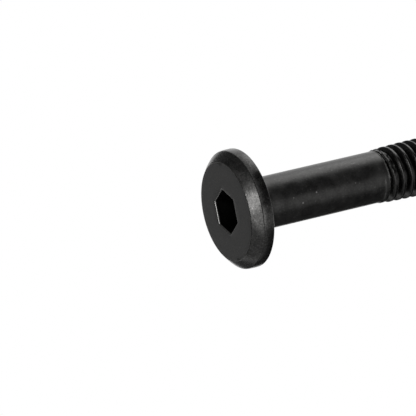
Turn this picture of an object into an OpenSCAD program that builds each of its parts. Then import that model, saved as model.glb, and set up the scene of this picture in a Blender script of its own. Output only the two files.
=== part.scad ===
// Furniture connector bolt: a flat bevelled head with a hex socket, a short conical neck, a plain
// shank and a long rolled thread. It stands on its head: the flat face lies on z = 0 and the tip
// points up. A corner of the socket lies on the X axis.

/* [Head] */
// Diameter over the rim of the head
head_d = 12.5; // [11:0.1:18]
// Diameter of the flat face inside the bevel
face_d = 10.4; // [8:0.1:10.8]
// Height of the bevel between the flat face and the rim
bevel_h = 0.95; // [0.5:0.05:2]
// How far the middle of the bevel bulges from a straight cone
bevel_bulge = 0.03; // [0.01:0.01:0.1]
// Height of the rim
rim_h = 1.2; // [0.6:0.05:3]
// How far the front of the rim is drawn in
rim_draw = 0.05; // [0.02:0.01:0.15]
// Radius that softens the edges of the head
edge_r = 0.15; // [0.05:0.01:0.2]

/* [Neck and shank] */
// Diameter of the conical neck where it leaves the head
neck_d = 6.6; // [6.2:0.1:8]
// Height of the conical neck
neck_h = 1.2; // [0.6:0.1:3]
// Radius of the fillet in the corner under the head
neck_r = 0.2; // [0.1:0.01:0.3]
// Diameter of the plain shank
shank_d = 5.45; // [5:0.05:5.6]
// Plain length from under the head to the edge where the thread was rolled
shank_l = 16.1; // [4:0.1:24]
// Length of the whole bolt from under the head to the tip
bolt_l = 50; // [30:1:90]

/* [Thread] */
// Diameter over the crests
thread_d = 6; // [5.8:0.05:6.2]
// Distance from one turn to the next
pitch = 1; // [0.8:0.05:1.25]
// Width of the flat on each crest
crest_w = 0.18; // [0.08:0.01:0.25]
// Width of the flat in each groove
groove_w = 0.13; // [0.08:0.01:0.25]
// Angle between the flanks of a groove
flank_angle = 60; // [55:1:65]
// Turns over which the crests rise to their full height
rising_turns = 5; // [1:0.5:8]
// Direction in which the first turn starts
start_angle = 260; // [0:5:355]
// Height of the hidden start of the first turn below the end of the plain shank
start_back = 0.4; // [0.2:0.05:1]
// Depth of that start under the surface of the shank
start_depth = 0.25; // [0.1:0.05:0.3]
// Part of the first turn before which no groove is rolled
groove_start = 0.7; // [0.3:0.05:0.9]
// Part of a turn over which the first groove reaches its full depth
groove_fall = 0.3; // [0.1:0.05:0.6]
// Length of the cone between the plain shank and the grooves
cone_l = 0.3; // [0.1:0.05:2]

/* [Tip] */
// Diameter of the flat end
tip_d = 4.4; // [3:0.1:5]
// Height of the chamfer
tip_h = 0.9; // [0.3:0.1:2]

/* [Socket] */
// Width across the flats
socket_w = 4.05; // [3:0.05:4.1]
// Depth of the flats
socket_depth = 2.5; // [1.5:0.1:3]
// Depth of the punched cone under the flats
socket_cone = 0.7; // [0.2:0.1:1]

/* [Hidden] */
$fn = 96;
black = "#2b2b2b";
head_h = bevel_h + rim_h;
thread_z = head_h + shank_l;
tip_z = head_h + bolt_l;
flank_w = (pitch - crest_w - groove_w) / 2;
root_r = thread_d / 2 - flank_w / tan(flank_angle / 2);
// How far a hidden face lies inside the metal that covers it
sink = 0.1;
// How far a cut reaches past the metal that it opens
cut = 1;
// How steeply the first crests rise, from 1 for an even rise to 0 for a step
rise_power = 0.15;
// Straight steps in each rounded edge, and in each turn of the thread
edge_steps = 5;
turn_steps = 24;

// Points of the arc of radius r that rounds the corner at b, on the way from a to c
function rounded_corner(a, b, c, r) =
    let (u = (a - b) / norm(a - b))
    let (v = (c - b) / norm(c - b))
    let (half = acos(u * v) / 2)
    let (middle = b + (u + v) / norm(u + v) * r / sin(half))
    let (from = b + u * r / tan(half) - middle)
    let (to = b + v * r / tan(half) - middle)
    let (sweep = 180 - 2 * half)
    [for (i = [0 : edge_steps])
        let (t = i / edge_steps)
        middle + (from * sin(sweep * (1 - t)) + to * sin(sweep * t)) / sin(sweep)];

// Points on the way from a to b, on a line that bulges to its right
function bulged_line(a, b, bulge) =
    let (right = [b[1] - a[1], a[0] - b[0]] / norm(b - a))
    [for (i = [1 : edge_steps - 1])
        let (t = i / edge_steps)
        a + (b - a) * t + right * bulge * 4 * t * (1 - t)];

// Points on the front half of the rim, from the bevel to where the rim is straight
function rim_front_half() =
    [for (i = [1 : edge_steps])
        let (t = i / edge_steps)
        [head_d / 2 - rim_draw * pow(1 - t, 2), bevel_h + rim_h * t / 2]];

// Half section of head, neck and shank, as radius and height, from the face up to the hidden end
// of the cone inside the thread
function blank_section() =
    let (face_edge = [face_d / 2, 0])
    let (rim_front = [head_d / 2 - rim_draw, bevel_h])
    let (rim_back = [head_d / 2, head_h])
    let (neck_foot = [neck_d / 2, head_h])
    let (neck_end = [shank_d / 2, head_h + neck_h])
    let (bevel = bulged_line(face_edge, rim_front, bevel_bulge))
    let (rim = rim_front_half())
    concat(
        [[0, 0]],
        rounded_corner([0, 0], face_edge, bevel[0], edge_r),
        bevel,
        rounded_corner(bevel[len(bevel) - 1], rim_front, rim[0], edge_r),
        rim,
        rounded_corner(rim[len(rim) - 1], rim_back, neck_foot, edge_r),
        rounded_corner(rim_back, neck_foot, neck_end, neck_r),
        [
            neck_end,
            [shank_d / 2, thread_z],
            [root_r - sink, thread_z + cone_l],
            [0, thread_z + cone_l]
        ]
    );

// Section of one turn, as height from the middle of the crest and radius. A crest that has not risen
// to its full height is wider. The foot is the side of the turn that faces the head.
function turn_section(crest_r, foot_r) =
    let (half_w = crest_w / 2 + (thread_d / 2 - crest_r) * tan(flank_angle / 2))
    [
        [-crest_w / 2 - flank_w, foot_r],
        [-half_w, crest_r],
        [half_w, crest_r],
        [crest_w / 2 + flank_w, root_r]
    ];

// Threaded rod with a right-hand helix. Its first turn starts inside the shank, and its crests rise
// out of it.
module thread() {
    corners = len(turn_section(thread_d / 2, root_r));
    start_z = thread_z - start_back;
    start_r = shank_d / 2 - start_depth;
    start_foot_r = shank_d / 2 - sink;
    steps = turn_steps * ceil((tip_z - start_z) / pitch + 1);
    rise = function (step) pow(min(1, step / (turn_steps * rising_turns)), rise_power);
    fall = function (step) min(1, max(0, (step / turn_steps - groove_start) / groove_fall));
    corner = function (step, i)
        let (crest_r = start_r + (thread_d / 2 - start_r) * rise(step))
        let (foot_r = start_foot_r + (root_r - start_foot_r) * fall(step))
        let (place = turn_section(crest_r, foot_r)[i])
        let (r = place[1])
        let (angle = 360 * step / turn_steps)
        [r * cos(angle), r * sin(angle), start_z + pitch * step / turn_steps + place[0]];
    // Number of a corner; the one after a turn's last corner is the first of the next turn
    at = function (step, i) i < corners ? step * corners + i : (step + turn_steps) * corners;
    foot = (steps + turn_steps + 1) * corners;
    points = concat(
        [for (step = [0 : steps + turn_steps], i = [0 : corners - 1]) corner(step, i)],
        [[0, 0, start_z], [0, 0, start_z + pitch * steps / turn_steps]]
    );
    faces = concat(
        [for (step = [0 : steps - 1], i = [0 : corners - 1])
            each [
                [at(step, i), at(step + 1, i + 1), at(step + 1, i)],
                [at(step, i), at(step, i + 1), at(step + 1, i + 1)]
            ]],
        [for (step = [0 : turn_steps - 1])
            each [
                [foot, at(step, 0), at(step + 1, 0)],
                [foot + 1, at(steps + step + 1, 0), at(steps + step, 0)]
            ]],
        [for (i = [0 : corners - 1])
            each [
                [foot, at(0, i + 1), at(0, i)],
                [foot + 1, at(steps, i), at(steps, i + 1)]
            ]]
    );
    rotate([0, 0, start_angle])
        polyhedron(points, faces);
}

// Metal that is cut away outside the chamfer and past the end of the tip
module tip_cut() {
    flare = tip_h * (thread_d / 2 + cut - tip_d / 2) / (thread_d / 2 - tip_d / 2);
    top = tip_z + 3 * pitch;
    rotate_extrude()
        polygon([
            [0, tip_z],
            [tip_d / 2, tip_z],
            [thread_d / 2 + cut, tip_z - flare],
            [thread_d / 2 + cut, top],
            [0, top]
        ]);
}

// Hex socket with a punched cone at the bottom
module socket() {
    translate([0, 0, -cut])
        cylinder(d = socket_w / cos(30), h = socket_depth + cut, $fn = 6);
    translate([0, 0, socket_depth])
        cylinder(d1 = socket_w, d2 = 0, h = socket_cone);
}

module bolt() {
    color(black)
        difference() {
            union() {
                rotate_extrude()
                    polygon(blank_section());
                thread();
            }
            tip_cut();
            socket();
        }
}

bolt();
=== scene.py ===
import math

import bpy
from mathutils import Matrix, Quaternion, Vector, noise


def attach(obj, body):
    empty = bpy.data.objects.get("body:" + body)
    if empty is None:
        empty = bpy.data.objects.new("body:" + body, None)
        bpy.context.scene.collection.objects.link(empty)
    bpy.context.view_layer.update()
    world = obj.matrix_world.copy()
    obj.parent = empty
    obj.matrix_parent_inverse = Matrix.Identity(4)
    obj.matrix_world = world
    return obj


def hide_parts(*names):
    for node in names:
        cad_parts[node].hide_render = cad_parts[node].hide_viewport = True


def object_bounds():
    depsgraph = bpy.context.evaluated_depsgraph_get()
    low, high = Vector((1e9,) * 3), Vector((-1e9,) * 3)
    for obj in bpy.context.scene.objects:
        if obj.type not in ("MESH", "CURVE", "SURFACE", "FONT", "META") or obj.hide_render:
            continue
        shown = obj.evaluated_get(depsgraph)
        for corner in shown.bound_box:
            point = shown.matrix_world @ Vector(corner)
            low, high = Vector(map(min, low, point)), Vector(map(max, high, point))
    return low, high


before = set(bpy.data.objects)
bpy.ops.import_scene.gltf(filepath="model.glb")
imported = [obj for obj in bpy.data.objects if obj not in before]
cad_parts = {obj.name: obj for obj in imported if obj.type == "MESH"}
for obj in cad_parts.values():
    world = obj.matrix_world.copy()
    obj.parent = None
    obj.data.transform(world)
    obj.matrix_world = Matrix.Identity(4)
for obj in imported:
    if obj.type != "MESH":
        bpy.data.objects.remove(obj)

# A furniture connector bolt that stands on its head, as one closed mesh in a small studio
cad_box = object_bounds()
MM = 0.001

# Sizes of the bolt in millimetres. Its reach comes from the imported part.
HEAD_R = min(-cad_box[0][0], -cad_box[0][1], cad_box[1][0], cad_box[1][1]) / MM
TIP_Z = cad_box[1][2] / MM
FACE_R = 5.2
BEVEL_H = 0.95
BEVEL_BULGE = 0.03
RIM_H = 1.2
RIM_DRAW = 0.05
HEAD_H = BEVEL_H + RIM_H
EDGE_R = 0.15
RIM_EDGE_R = 0.25
NECK_R = 3.3
NECK_H = 1.2
NECK_FILLET = 0.2
SHANK_R = 2.725
SHANK_L = 16.1
THREAD_Z = HEAD_H + SHANK_L
TIP_R = 2.2
TIP_H = 0.9
TIP_EDGE = 0.06
SOCKET_W = 4.05
SOCKET_DEPTH = 2.5
SOCKET_CONE = 0.7
SOCKET_EDGE = 0.17

# Thread, with lengths in millimetres too, and how far the edges of its crests and grooves are rounded
THREAD_R = 3.0
ROOT_R = 2.402
PITCH = 1.0
CREST_W = 0.18
FLANK_W = 0.345
THREAD_EDGE = 0.05
# Start of the thread: its direction in degrees, how far back and how deep it lies in the shank, the turns
# over which the crests rise and the power of that rise, the turn at which the first groove starts and the
# turns over which it falls, and the length of the cone between the shank and the grooves
START_ANGLE = 260
START_BACK = 0.4
START_DEPTH = 0.25
RISING_TURNS = 5.0
RISE_POWER = 0.15
GROOVE_START = 0.7
GROOVE_FALL = 0.3
CONE_L = 0.3
# How far a hidden edge lies under the metal that covers it
SINK = 0.1
START_R = SHANK_R - START_DEPTH
START_FOOT_R = SHANK_R - SINK
CONE_R = ROOT_R - SINK

# Bead that the rolling pushed up at the end of the plain shank
BEAD_H = 0.045
BEAD_W = 0.06
# Lap, the ragged metal that the rolling folded over the start of the first groove: the turns between
# which it widens and narrows, and how far it reaches from the middle of the crest, in turns too
LAP_WIDENS = (0.55, 0.95)
LAP_NARROWS = (0.84, 1.02)
LAP_WIDTH = 0.4
# How uneven the lap is, how deep it lies as a share of that, how many times faster than its width it comes
# and goes, and how close its lumps are along and across a turn
LAP_H = 0.11
LAP_DIP = 0.75
LAP_ENDS = (6.0, 2.0)
LAP_GRAIN = (26.0, 11.0)

# How worn the edges are, the socket's most of all
FACE_EDGE_WEAR = 1.6
RIM_BACK_WEAR = 0.2
BEAD_WEAR = 2.0
CREST_WEAR = 0.4
SOCKET_WEAR = 4.0

# Fineness of the mesh: columns round the bolt, steps in a rounded edge, rings on the plain shank, and the
# angle in degrees from which an edge is sharp
COLUMNS = 108
EDGE_STEPS = 6
SHANK_RINGS = 14
SHARP_ANGLE = 35
# Heights of rings on the socket's walls, and radii of rings on the face and on the tip
WALL_RINGS = (1.6, 0.8, 0.35)
FACE_RINGS = (2.9, 3.7, 4.5)
TIP_RINGS = (1.5, 0.7)
# How far the cone's foot stays inside the flats of the socket
CONE_GAP = 0.02
# Points across half a turn of the thread: in the groove, in turns from the middle of the crest, near the
# crest's edge, in turns from that edge, and the furthest that this edge is taken to lie from the middle
GROOVE_PHASES = (0.45, 0.4, 0.34)
CREST_PHASES = (0.15, 0.032, 0.016, 0.0, -0.016, -0.032)
WIDEST_HALF = 0.2
# Turns of the strip that lie on the plain shank before the thread starts, and turns from there back to
# the shank's last ring
LEAD_TURNS = 1
LEAD_GAP = 0.75
# How far below the tip the strip ends, the length over which it is drawn together there, and the parts of
# the tip's edge, measured down from the tip, where the edge starts and where it is half round
STRIP_END = 0.115
TIP_STRETCH = 0.4
TIP_EDGE_PARTS = (0.6, 0.2)

# Finish: tint, cells of its patterns to the metre, and depth of its bump in metres
WARM_GREY = (1.0, 0.99, 0.97)
MOTTLE_SCALE = 900.0
SPECK_SCALE = 5200.0
GRAIN_SCALE = 11000.0
LINE_SCALE = 14000.0
NICK_SCALE = 1300.0
BUMP_DEPTH = 0.00002
# Length in metres that a radian counts as, which draws the turned lines out round the axis
LINE_STRETCH = 0.0004
# Brightness that worn edges and bright specks add, and which part of each pattern shows
EDGE_LIGHT = 0.03
SPECK_LIGHT = 0.05
MOTTLE_SPAN = (0.35, 0.65)
SPECK_SPAN = (0.3, 0.7)
BRIGHT_SPECK_SPAN = (0.66, 0.76)
NICK_CHANCE_SPAN = (0.86, 0.96)
NICK_SIZE_SPAN = (0.05, 0.16)
# Each finish: brightness and roughness from one end of its mottle to the other, and how strong its specks,
# grain, turned lines and nicks are
FINISHES = {
    "face": dict(colour_range=(0.046, 0.056), roughness_range=(0.4, 0.46), specks=0.009, grain=0.35),
    "turned": dict(
        colour_range=(0.045, 0.06), roughness_range=(0.22, 0.3),
        specks=0.018, grain=0.15, lines=0.12, nicks=0.15,
    ),
    "shank": dict(
        colour_range=(0.045, 0.065), roughness_range=(0.3, 0.38),
        specks=0.008, grain=0.25, lines=0.05, nicks=0.3,
    ),
    "thread": dict(colour_range=(0.03, 0.045), roughness_range=(0.2, 0.28), specks=0.01, grain=0.15),
    "socket": dict(colour_range=(0.025, 0.035), roughness_range=(0.3, 0.4), specks=0.005, grain=0.3),
}

# The photograph: its size and focal length in pixels, where the middle of the head's face is in it, the
# scale there, and how the bolt lies, in radians
IMAGE_PX = 416
FOCAL_PX = 3000
FACE_PX = (225.9, 211.95)
PX_PER_MM = 9.77
AXIS_TURN = -0.2298
AXIS_TILT = 0.463
AXIS_ROLL = 0.07
# Width of the sensor that the camera's lens is stated for
SENSOR_MM = 36

# Surroundings, with lengths in metres: how far the cards and the lamps stand from the bolt, the point that
# they face, and the strength of the white around, as light and as it is seen
FLAG_DISTANCE = 0.4
LAMP_DISTANCE = 0.35
LIT_POINT = Vector((0, 0, 0.01))
WORLD_LIGHT = 0.55
WORLD_SEEN = 1.0
# Floor: its brightness, how far it reaches under the head, its rings, their sides, and where it fades
FLOOR_GREY = 0.9
FLOOR_UNDER = 0.3 * MM
FLOOR_RINGS = (FACE_R * MM - FLOOR_UNDER, 0.03, 0.22)
FLOOR_SIDES = 96
FLOOR_FADE = (0.05, 0.2)
# Each card: its azimuth and elevation in degrees, its width and height, and its brightness
FLAGS = {
    "flag_front": ((-27, 38), (0.52, 0.34), 0.06),
    "flag_side": ((100, 22), (0.95, 0.56), 0.05),
    "flag_back": ((-150, -3), (0.39, 0.1), 0.14),
    "flag_rear": ((152, -2), (0.3, 0.2), 0.12),
    "flag_low": ((180, -25), (0.29, 0.185), 0.49),
    "flag_left": ((-75, -22), (0.95, 0.39), 0.2),
    "flag_right": ((105, -42), (0.36, 0.3), 0.5),
    "flag_flank": ((147, -44), (0.34, 0.22), 0.02),
    "flag_corner": ((-140, -28), (0.3, 0.36), 0.16),
    "flag_band": ((28, 34), (0.32, 0.2), 0.48),
    "flag_gap": ((10, -27), (0.56, 0.22), 0.02),
    "flag_under": ((180, -75), (0.6, 0.42), 0.02),
}
# Each lamp: the same, with its radiance last
SOFTBOXES = {
    "softbox_under": ((-15, -64), (0.155, 0.22), 5.3),
    "softbox_fill": ((38, -62), (0.16, 0.22), 1.3),
    "softbox_strip": ((23, 6), (0.16, 0.05), 4.2),
    "softbox_strip_side": ((84, 11), (0.5, 0.15), 0.45),
    "softbox_top": ((-98, 43), (0.2, 0.2), 1.9),
}


class Skin:
    """Collects the points and faces of one closed mesh, ring by ring."""

    def __init__(self):
        self.points = []
        self.edges = []
        self.faces = []
        self.looks = []

    def point(self, radius, angle, height, edge=0.0):
        self.points.append((radius * math.cos(angle) * MM, radius * math.sin(angle) * MM, height * MM))
        self.edges.append(edge)
        return len(self.points) - 1

    def ring(self, radius_at, height, edge=0.0):
        """A closed ring; radius_at gives the radius at an angle."""
        angles = [column_angle(c) for c in range(COLUMNS)]
        return [self.point(radius_at(angle), angle, height, edge) for angle in angles]

    def face(self, corners, look):
        self.faces.append(corners)
        self.looks.append(look)

    def bridge(self, inner, outer, look):
        """Faces between two rings, the first of them nearer to the start of the outline."""
        for c in range(COLUMNS):
            n = (c + 1) % COLUMNS
            self.face((inner[c], inner[n], outer[n], outer[c]), look)

    def fan(self, ring, height, look, outward):
        """Closes a ring with faces to one point on the axis."""
        middle = self.point(0, 0, height)
        for c in range(COLUMNS):
            n = (c + 1) % COLUMNS
            self.face((ring[c], ring[n], middle) if outward else (ring[n], ring[c], middle), look)


def column_angle(column):
    return 2 * math.pi * column / COLUMNS


def hex_radius(width):
    """Radius of a hexagon of that width across its flats, with a corner on X."""
    sixth = math.pi / 3

    def at(angle):
        return width / 2 / math.cos(angle % sixth - sixth / 2)

    return at


def round_radius(radius):
    return lambda angle: radius


def rounded_corner(before, corner, after, radius):
    """Points, as radius and height, of the arc that rounds a corner of an outline."""
    a, b, c = Vector(before), Vector(corner), Vector(after)
    u, v = (a - b).normalized(), (c - b).normalized()
    half = u.angle(v) / 2
    middle = b + (u + v).normalized() * radius / math.sin(half)
    start = b + u * radius / math.tan(half) - middle
    end = b + v * radius / math.tan(half) - middle
    sweep = math.pi - 2 * half
    points = []
    for i in range(EDGE_STEPS + 1):
        t = i / EDGE_STEPS
        spoke = (start * math.sin(sweep * (1 - t)) + end * math.sin(sweep * t)) / math.sin(sweep)
        points.append(middle + spoke)
    return points


def bulged_line(start, end, bulge):
    """Points on the way from start to end, on a line that bulges to its right."""
    a, b = Vector(start), Vector(end)
    along = b - a
    right = Vector((along.y, -along.x)).normalized()
    points = []
    for i in range(1, EDGE_STEPS):
        t = i / EDGE_STEPS
        points.append(a + along * t + right * bulge * 4 * t * (1 - t))
    return points


def rim_front_half():
    """Points from the bevel to where the rim is straight."""
    points = []
    for i in range(1, EDGE_STEPS + 1):
        t = i / EDGE_STEPS
        points.append(Vector((HEAD_R - RIM_DRAW * (1 - t) ** 2, BEVEL_H + RIM_H * t / 2)))
    return points


def head_outline():
    """Outline from the face round the rim to the neck, with how far each point is on an edge."""
    face_edge, rim_front, rim_back = (FACE_R, 0), (HEAD_R - RIM_DRAW, BEVEL_H), (HEAD_R, HEAD_H)
    neck_foot, neck_end = (NECK_R, HEAD_H), (SHANK_R, HEAD_H + NECK_H)
    bevel = bulged_line(face_edge, rim_front, BEVEL_BULGE)
    rim = rim_front_half()
    outline = []
    for before, corner, after, radius, edge, next_points in (
        ((0, 0), face_edge, bevel[0], EDGE_R, FACE_EDGE_WEAR, bevel[:-1]),
        (bevel[-1], rim_front, rim[0], RIM_EDGE_R, 0.0, rim[1:]),
        (rim[-1], rim_back, neck_foot, EDGE_R, RIM_BACK_WEAR, []),
        (rim_back, neck_foot, neck_end, NECK_FILLET, 0.0, []),
    ):
        arc = rounded_corner(before, corner, after, radius)
        outline += [(p.x, p.y, edge * math.sin(math.pi * i / EDGE_STEPS)) for i, p in enumerate(arc)]
        outline += [(p.x, p.y, 0.0) for p in next_points]
    return outline


def soft_min(a, b, soft):
    """The smaller of two values, with a rounded passage where they cross."""
    if abs(a - b) >= soft:
        return min(a, b)
    return (a + b) / 2 - ((a - b) ** 2 + soft ** 2) / (4 * soft)


def crest_radius(turn):
    rise = min(1.0, max(0.0, turn) / RISING_TURNS) ** RISE_POWER
    return START_R + (THREAD_R - START_R) * rise


def foot_radius(turn):
    """Radius of the groove before a turn, on the side of the head."""
    fall = min(1.0, max(0.0, (turn - GROOVE_START) / GROOVE_FALL))
    return START_FOOT_R + (ROOT_R - START_FOOT_R) * fall


def crest_half(turn):
    """Half of the crest's width in turns. A crest that has not risen to its full height is wider."""
    short = (THREAD_R - crest_radius(turn)) / (THREAD_R - ROOT_R)
    return (CREST_W / 2 + short * FLANK_W) / PITCH


def turn_phases(turn):
    """Places across a turn, from -0.5 to 0.5, that are close together at the edges of its crest."""
    half = min(WIDEST_HALF, crest_half(turn))
    side = list(GROOVE_PHASES) + [half + phase for phase in CREST_PHASES]
    return [-0.5] + [-phase for phase in side] + [0.0] + side[::-1]


def thread_radius(turn, phase):
    """Radius of the thread, by turns from its start and place across a turn from -0.5 to 0.5."""
    crest = crest_radius(turn)
    foot = foot_radius(turn) if phase < 0 else ROOT_R
    low, high = (CREST_W / 2 + FLANK_W) / PITCH, crest_half(turn)
    flank = foot + (crest - foot) * (low - abs(phase)) / (low - high)
    return soft_min(-soft_min(-flank, -foot, THREAD_EDGE), crest, THREAD_EDGE)


def bead_share(height):
    return math.exp(-((height - THREAD_Z + BEAD_W) / BEAD_W) ** 2)


def blank_radius(height):
    """Radius of the shank with its bead, and of the cone between the shank and the grooves."""
    share = min(1.0, max(0.0, (height - THREAD_Z) / CONE_L))
    return SHANK_R + BEAD_H * bead_share(height) + (CONE_R - SHANK_R) * share


def share_between(value, span):
    return min(1.0, max(0.0, (value - span[0]) / (span[1] - span[0])))


def lapped_radius(turn, phase):
    """Radius of the thread with the lap, which covers part of its first crest and groove."""
    start, left = share_between(turn, LAP_WIDENS), 1 - share_between(turn, LAP_NARROWS)
    width = start * left
    half = crest_half(turn)
    if width == 0 or not -half - (LAP_WIDTH - half) * width < phase < half:
        return thread_radius(turn, phase)
    lumps = noise.noise(Vector((turn * LAP_GRAIN[0], phase * LAP_GRAIN[1], 0)))
    strength = min(1.0, LAP_ENDS[0] * start, LAP_ENDS[1] * left)
    return crest_radius(turn) + LAP_H * (lumps - LAP_DIP) * strength


def chamfer_radius(height):
    return TIP_R + (TIP_Z - height) / TIP_H * (THREAD_R - TIP_R)


def below_tip(height):
    """Draws heights past the last stretch of the chamfer together, so that all stay under the tip."""
    room = TIP_STRETCH - TIP_EDGE
    past = height - (TIP_Z - TIP_STRETCH)
    return height if past <= 0 else TIP_Z - TIP_STRETCH + room * (1 - math.exp(-past / room))


def add_socket(skin):
    """Punched cone, socket walls and the broken edge at the mouth. Returns the ring on the face."""
    cone_foot = skin.ring(round_radius(SOCKET_W / 2 - CONE_GAP), SOCKET_DEPTH)
    cone_mid = skin.ring(round_radius(SOCKET_W / 4), SOCKET_DEPTH + SOCKET_CONE / 2)
    skin.fan(cone_mid, SOCKET_DEPTH + SOCKET_CONE, "socket", False)
    skin.bridge(cone_mid, cone_foot, "socket")
    last = skin.ring(hex_radius(SOCKET_W), SOCKET_DEPTH)
    skin.bridge(cone_foot, last, "socket")
    for height in WALL_RINGS:
        wall = skin.ring(hex_radius(SOCKET_W), height)
        skin.bridge(last, wall, "socket")
        last = wall
    for i in range(EDGE_STEPS + 1):
        turn = math.pi / 2 * i / EDGE_STEPS
        width = SOCKET_W + 2 * SOCKET_EDGE * (1 - math.cos(turn))
        worn = SOCKET_WEAR * math.sin(math.pi * i / EDGE_STEPS)
        mouth = skin.ring(hex_radius(width), SOCKET_EDGE * (1 - math.sin(turn)), worn)
        skin.bridge(last, mouth, "socket" if i == 0 else "turned")
        last = mouth
    return last


def add_head_and_shank(skin, mouth):
    """Face, bevel, rim, underside, neck and shank. Returns the ring at the end of the shank."""
    last = mouth
    for radius in FACE_RINGS:
        circle = skin.ring(round_radius(radius), 0)
        skin.bridge(last, circle, "face")
        last = circle
    for radius, height, edge in head_outline():
        circle = skin.ring(round_radius(radius), height, edge)
        skin.bridge(last, circle, "face" if height == 0 else "turned")
        last = circle
    neck_end = HEAD_H + NECK_H
    shank_end = THREAD_Z - START_BACK - (LEAD_TURNS + LEAD_GAP) * PITCH
    for i in range(SHANK_RINGS + 1):
        circle = skin.ring(round_radius(SHANK_R), neck_end + (shank_end - neck_end) * i / SHANK_RINGS)
        skin.bridge(last, circle, "turned" if i == 0 else "shank")
        last = circle
    return last


def add_thread(skin, shank_end):
    """One strip wound round the bolt, from the shank's last ring. Returns the ring at the tip's edge."""
    phases = len(turn_phases(0))
    first_column = round(START_ANGLE / 360 * COLUMNS)
    start_z = THREAD_Z - START_BACK
    steps = round(((TIP_Z - STRIP_END - start_z) / PITCH + LEAD_TURNS) * COLUMNS)

    def turn_at(step):
        return step / COLUMNS - LEAD_TURNS

    def strip_point(step, phase):
        turn = turn_at(step)
        height = below_tip(start_z + PITCH * (turn + phase))
        blank, thread = blank_radius(height), lapped_radius(turn, phase)
        angle = column_angle(first_column + step)
        if blank > thread:
            worn = BEAD_WEAR * bead_share(height)
        else:
            proud = max(0.0, crest_radius(turn) - SHANK_R) / (THREAD_R - SHANK_R)
            worn = CREST_WEAR * proud if abs(phase) <= crest_half(turn) else 0.0
        return skin.point(min(max(blank, thread), chamfer_radius(height)), angle, height, worn)

    def strip_row(step):
        return [strip_point(step, phase) for phase in turn_phases(turn_at(step))]

    strip = [strip_row(step) for step in range(steps + 1)]
    end_edge = [strip_point(step, -0.5) for step in range(steps + 1, steps + COLUMNS + 1)]
    lower = [row[0] for row in strip] + end_edge

    def at(step, i):
        return strip[step][i] if i < phases else lower[step + COLUMNS]

    for step in range(steps):
        for i in range(phases):
            corners = (at(step, i), at(step + 1, i), at(step + 1, i + 1), at(step, i + 1))
            on_shank = skin.points[corners[2]][2] < (THREAD_Z - BEAD_W) * MM
            skin.face(corners, "shank" if on_shank else "thread")
    chamfer_end = TIP_Z - TIP_EDGE * TIP_EDGE_PARTS[0]
    tip = skin.ring(round_radius(chamfer_radius(chamfer_end)), chamfer_end)
    for k in range(COLUMNS):
        c = (first_column + k) % COLUMNS
        n = (c + 1) % COLUMNS
        corners = [shank_end[c], shank_end[n], lower[k + 1], lower[k]]
        if k == COLUMNS - 1:
            corners[2:2] = strip[0]
        skin.face(tuple(corners), "shank")
        c = (first_column + steps + k) % COLUMNS
        n = (c + 1) % COLUMNS
        corners = [lower[steps + k], lower[steps + k + 1], tip[n], tip[c]]
        if k == 0:
            corners += [at(steps, i) for i in range(phases, 0, -1)]
        skin.face(tuple(corners), "thread")
    return tip


def add_tip(skin, last):
    """Rounded edge and flat end, from the ring at the tip's edge."""
    outline = [(TIP_R, TIP_Z - TIP_EDGE * TIP_EDGE_PARTS[1])]
    outline += [(radius, TIP_Z) for radius in (TIP_R - TIP_EDGE, *TIP_RINGS)]
    for radius, height in outline:
        circle = skin.ring(round_radius(radius), height)
        skin.bridge(last, circle, "thread")
        last = circle
    skin.fan(last, TIP_Z, "thread", True)


def add_bolt(materials):
    skin = Skin()
    add_tip(skin, add_thread(skin, add_head_and_shank(skin, add_socket(skin))))
    mesh = bpy.data.meshes.new("connector_bolt")
    mesh.from_pydata(skin.points, [], skin.faces)
    names = list(materials)
    for name in names:
        mesh.materials.append(materials[name])
    mesh.polygons.foreach_set("material_index", [names.index(look) for look in skin.looks])
    mesh.attributes.new("edge", "FLOAT", "POINT").data.foreach_set("value", skin.edges)
    mesh.shade_smooth()
    mesh.set_sharp_from_angle(angle=math.radians(SHARP_ANGLE))
    mesh.update()
    bolt = bpy.data.objects.new("connector_bolt", mesh)
    bpy.context.scene.collection.objects.link(bolt)
    return bolt


def node_tools(tree):
    """Empties a node tree. Returns a way to add a node with its values set, and a way to link."""
    tree.nodes.clear()

    def node(kind, **values):
        made = tree.nodes.new(kind)
        for key, value in values.items():
            if key in made.inputs:
                made.inputs[key].default_value = value
            else:
                setattr(made, key, value)
        return made

    return node, tree.links.new


def new_material(name):
    material = bpy.data.materials.new(name)
    material.use_nodes = True
    return material, *node_tools(material.node_tree)


def maths(node, link, operation, first, second):
    made = node("ShaderNodeMath", operation=operation)
    link(first, made.inputs[0])
    link(second, made.inputs[1])
    return made.outputs["Value"]


def map_range(node, link, source, span, low, high, **options):
    """Stretches a span of a pattern to the values from low to high, which it doesn't pass."""
    ranged = node("ShaderNodeMapRange", clamp=True, **options)
    for socket, value in zip(("From Min", "From Max", "To Min", "To Max"), (*span, low, high)):
        ranged.inputs[socket].default_value = value
    link(source, ranged.inputs["Value"])
    return ranged.outputs["Result"]


def mix_shaders(node, link, share, first, second):
    """The first shader where the share is 0, and the second where it is 1."""
    mix = node("ShaderNodeMixShader")
    link(share, mix.inputs["Fac"])
    link(first, mix.inputs[1])
    link(second, mix.inputs[2])
    return mix.outputs["Shader"]


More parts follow.
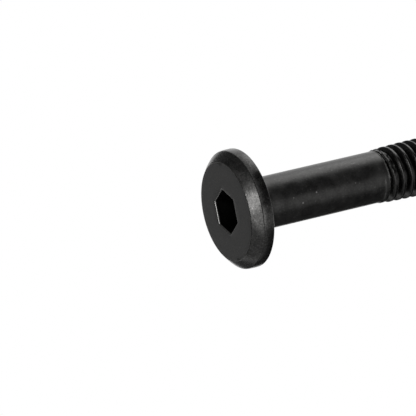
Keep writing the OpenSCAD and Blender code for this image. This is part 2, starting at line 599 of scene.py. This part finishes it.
def turned_place(node, link, place):
    """Coordinates in which noise becomes fine lines round the axis, as a lathe or a die leaves them."""
    parts = node("ShaderNodeSeparateXYZ")
    link(place.outputs["Object"], parts.inputs["Vector"])
    flat = node("ShaderNodeCombineXYZ")
    link(parts.outputs["X"], flat.inputs["X"])
    link(parts.outputs["Y"], flat.inputs["Y"])
    radius = node("ShaderNodeVectorMath", operation="LENGTH")
    link(flat.outputs["Vector"], radius.inputs[0])
    angle = maths(node, link, "ARCTAN2", parts.outputs["Y"], parts.outputs["X"])
    stretched = node("ShaderNodeMath", operation="MULTIPLY")
    stretched.inputs[1].default_value = LINE_STRETCH
    link(angle, stretched.inputs[0])
    turned = node("ShaderNodeCombineXYZ")
    link(radius.outputs["Value"], turned.inputs["X"])
    link(stretched.outputs["Value"], turned.inputs["Y"])
    link(parts.outputs["Z"], turned.inputs["Z"])
    return turned.outputs["Vector"]


def black_oxide(name, colour_range, roughness_range, specks, grain, lines=0.0, nicks=0.0):
    """Blackened steel: a dark skin with mottle, specks and nicks, worn lighter on the edges."""
    material, node, link = new_material(name)
    place = node("ShaderNodeTexCoord")
    mottle = node("ShaderNodeTexNoise", Scale=MOTTLE_SCALE, Detail=4.0, Roughness=0.6)
    speck = node("ShaderNodeTexNoise", Scale=SPECK_SCALE, Detail=2.0, Roughness=0.5)
    fine = node("ShaderNodeTexNoise", Scale=GRAIN_SCALE, Detail=3.0, Roughness=0.6)
    for texture in (mottle, speck, fine):
        link(place.outputs["Object"], texture.inputs["Vector"])

    def spread(source, span, low, high):
        return map_range(node, link, source, span, low, high)

    def total(first, second):
        return maths(node, link, "ADD", first, second)

    edge = node("ShaderNodeAttribute", attribute_name="edge")
    level = spread(mottle.outputs["Fac"], MOTTLE_SPAN, *colour_range)
    level = total(level, spread(speck.outputs["Fac"], BRIGHT_SPECK_SPAN, 0.0, SPECK_LIGHT))
    level = total(level, spread(speck.outputs["Fac"], SPECK_SPAN, -specks, specks))
    level = total(level, spread(edge.outputs["Fac"], (0.0, SOCKET_WEAR), 0.0, EDGE_LIGHT * SOCKET_WEAR))
    nick = node("ShaderNodeTexVoronoi", Scale=NICK_SCALE)
    link(place.outputs["Object"], nick.inputs["Vector"])
    chance = node("ShaderNodeSeparateColor")
    link(nick.outputs["Color"], chance.inputs["Color"])
    strength = spread(chance.outputs["Red"], NICK_CHANCE_SPAN, 0.0, nicks)
    inside = spread(nick.outputs["Distance"], NICK_SIZE_SPAN, 1.0, 0.0)
    level = total(level, maths(node, link, "MULTIPLY", strength, inside))
    colour = node("ShaderNodeVectorMath", operation="SCALE")
    colour.inputs[0].default_value = WARM_GREY
    link(level, colour.inputs["Scale"])
    bump = node("ShaderNodeBump", Strength=grain, Distance=BUMP_DEPTH)
    link(fine.outputs["Fac"], bump.inputs["Height"])
    if lines:
        marks = node("ShaderNodeTexNoise", Scale=LINE_SCALE, Detail=3.0, Roughness=0.6)
        link(turned_place(node, link, place), marks.inputs["Vector"])
        line_bump = node("ShaderNodeBump", Strength=lines, Distance=BUMP_DEPTH)
        link(marks.outputs["Fac"], line_bump.inputs["Height"])
        link(bump.outputs["Normal"], line_bump.inputs["Normal"])
        bump = line_bump
    shader = node("ShaderNodeBsdfPrincipled", Metallic=1.0)
    link(colour.outputs["Vector"], shader.inputs["Base Color"])
    link(spread(mottle.outputs["Fac"], MOTTLE_SPAN, *roughness_range), shader.inputs["Roughness"])
    link(bump.outputs["Normal"], shader.inputs["Normal"])
    output = node("ShaderNodeOutputMaterial")
    link(shader.outputs["BSDF"], output.inputs["Surface"])
    return material


def seen_or_mirrored(node, link):
    """1 for rays from the camera, from a mirror and through glass, and 0 for the light on the scene."""
    path = node("ShaderNodeLightPath")
    largest = path.outputs["Is Camera Ray"]
    for kind in ("Is Glossy Ray", "Is Transmission Ray"):
        largest = maths(node, link, "MAXIMUM", largest, path.outputs[kind])
    return largest


def add_world():
    """White to the camera and in reflections, and a softer grey as light."""
    world = bpy.data.worlds.new("studio")
    bpy.context.scene.world = world
    world.use_nodes = True
    node, link = node_tools(world.node_tree)
    light = node("ShaderNodeBackground", Color=(1, 1, 1, 1), Strength=WORLD_LIGHT)
    white = node("ShaderNodeBackground", Color=(1, 1, 1, 1), Strength=WORLD_SEEN)
    seen = seen_or_mirrored(node, link)
    mixed = mix_shaders(node, link, seen, light.outputs["Background"], white.outputs["Background"])
    output = node("ShaderNodeOutputWorld")
    link(mixed, output.inputs["Surface"])


def floor_material():
    """Pale matt floor that shows only from above and fades into the white around it."""
    material, node, link = new_material("pale_floor")
    place = node("ShaderNodeTexCoord")
    distance = node("ShaderNodeVectorMath", operation="LENGTH")
    link(place.outputs["Object"], distance.inputs[0])
    away = distance.outputs["Value"]
    fade = map_range(node, link, away, FLOOR_FADE, 0.0, 1.0, interpolation_type="SMOOTHSTEP")
    side = node("ShaderNodeNewGeometry")
    clear = maths(node, link, "MAXIMUM", fade, side.outputs["Backfacing"])
    pale = node("ShaderNodeBsdfDiffuse", Color=(FLOOR_GREY, FLOOR_GREY, FLOOR_GREY, 1))
    nothing = node("ShaderNodeBsdfTransparent")
    mixed = mix_shaders(node, link, clear, pale.outputs["BSDF"], nothing.outputs["BSDF"])
    output = node("ShaderNodeOutputMaterial")
    link(mixed, output.inputs["Surface"])
    return material


def add_floor():
    """A flat ring on which the head stands; its opening lies under the head."""
    points, faces = [], []
    for radius in FLOOR_RINGS:
        for i in range(FLOOR_SIDES):
            angle = 2 * math.pi * i / FLOOR_SIDES
            points.append((radius * math.cos(angle), radius * math.sin(angle), 0))
    for ring in range(len(FLOOR_RINGS) - 1):
        near, far = ring * FLOOR_SIDES, (ring + 1) * FLOOR_SIDES
        for i in range(FLOOR_SIDES):
            n = (i + 1) % FLOOR_SIDES
            faces.append((near + i, far + i, far + n, near + n))
    mesh = bpy.data.meshes.new("floor")
    mesh.from_pydata(points, [], faces)
    mesh.materials.append(floor_material())
    floor = bpy.data.objects.new("floor", mesh)
    bpy.context.scene.collection.objects.link(floor)
    floor.visible_shadow = False
    floor.visible_glossy = False


def facing(place):
    """Turns an object at that place so that its -Z side faces the bolt."""
    turn = (LIT_POINT - place).to_track_quat("-Z", "Y")
    return Matrix.LocRotScale(place, turn, None)


def towards(azimuth, elevation):
    """Direction from the bolt, in degrees. Azimuth 0 is the camera's and 90 is near +X."""
    a, e = math.radians(azimuth) - AXIS_ROLL, math.radians(elevation)
    return Vector((math.sin(a) * math.cos(e), -math.cos(a) * math.cos(e), math.sin(e)))


def add_flag(name, direction, size, grey):
    """A grey or black card that only reflections see, as studios use to give dark metal its contrast."""
    material, node, link = new_material(name)
    dark = node("ShaderNodeEmission", Color=(grey, grey, grey, 1))
    output = node("ShaderNodeOutputMaterial")
    link(dark.outputs["Emission"], output.inputs["Surface"])
    w, h = size[0] / 2, size[1] / 2
    mesh = bpy.data.meshes.new(name)
    mesh.from_pydata([(-w, -h, 0), (w, -h, 0), (w, h, 0), (-w, h, 0)], [], [(0, 1, 2, 3)])
    mesh.materials.append(material)
    flag = bpy.data.objects.new(name, mesh)
    bpy.context.scene.collection.objects.link(flag)
    flag.matrix_world = facing(towards(*direction) * FLAG_DISTANCE)
    flag.visible_camera = False
    flag.visible_diffuse = False
    flag.visible_transmission = False
    flag.visible_shadow = False


def add_softbox(name, direction, size, radiance):
    lamp = bpy.data.lights.new(name, "AREA")
    lamp.shape = "RECTANGLE"
    lamp.size, lamp.size_y = size
    lamp.energy = radiance * math.pi * size[0] * size[1]
    softbox = bpy.data.objects.new(name, lamp)
    bpy.context.scene.collection.objects.link(softbox)
    softbox.matrix_world = facing(towards(*direction) * LAMP_DISTANCE)


def add_camera():
    """The photograph's camera. Its own terms are right, down and away, in pixels or metres."""
    axis = Vector((
        math.cos(AXIS_TILT) * math.cos(AXIS_TURN),
        math.cos(AXIS_TILT) * math.sin(AXIS_TURN),
        math.sin(AXIS_TILT),
    ))
    across = Vector((-math.sin(AXIS_TURN), math.cos(AXIS_TURN), 0))
    across.rotate(Quaternion(axis, AXIS_ROLL))
    to_bolt = Matrix((across, axis.cross(across), axis))
    face = Vector((FACE_PX[0] - IMAGE_PX / 2, FACE_PX[1] - IMAGE_PX / 2, FOCAL_PX)) * MM / PX_PER_MM
    right, down, away = to_bolt.col
    data = bpy.data.cameras.new("camera")
    data.sensor_width = SENSOR_MM
    data.lens = data.sensor_width * FOCAL_PX / IMAGE_PX
    camera = bpy.data.objects.new("camera", data)
    bpy.context.scene.collection.objects.link(camera)
    turn = Matrix((right, -down, -away)).transposed()
    camera.matrix_world = Matrix.Translation(to_bolt @ -face) @ turn.to_4x4()
    bpy.context.scene.camera = camera


bolt = add_bolt({look: black_oxide(f"{look}_black_oxide", **finish) for look, finish in FINISHES.items()})
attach(bolt, "root")
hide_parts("bolt")

add_floor()
add_world()
for name, card in FLAGS.items():
    add_flag(name, *card)
for name, lamp in SOFTBOXES.items():
    add_softbox(name, *lamp)
add_camera()
bpy.context.scene.view_settings.view_transform = "Standard"
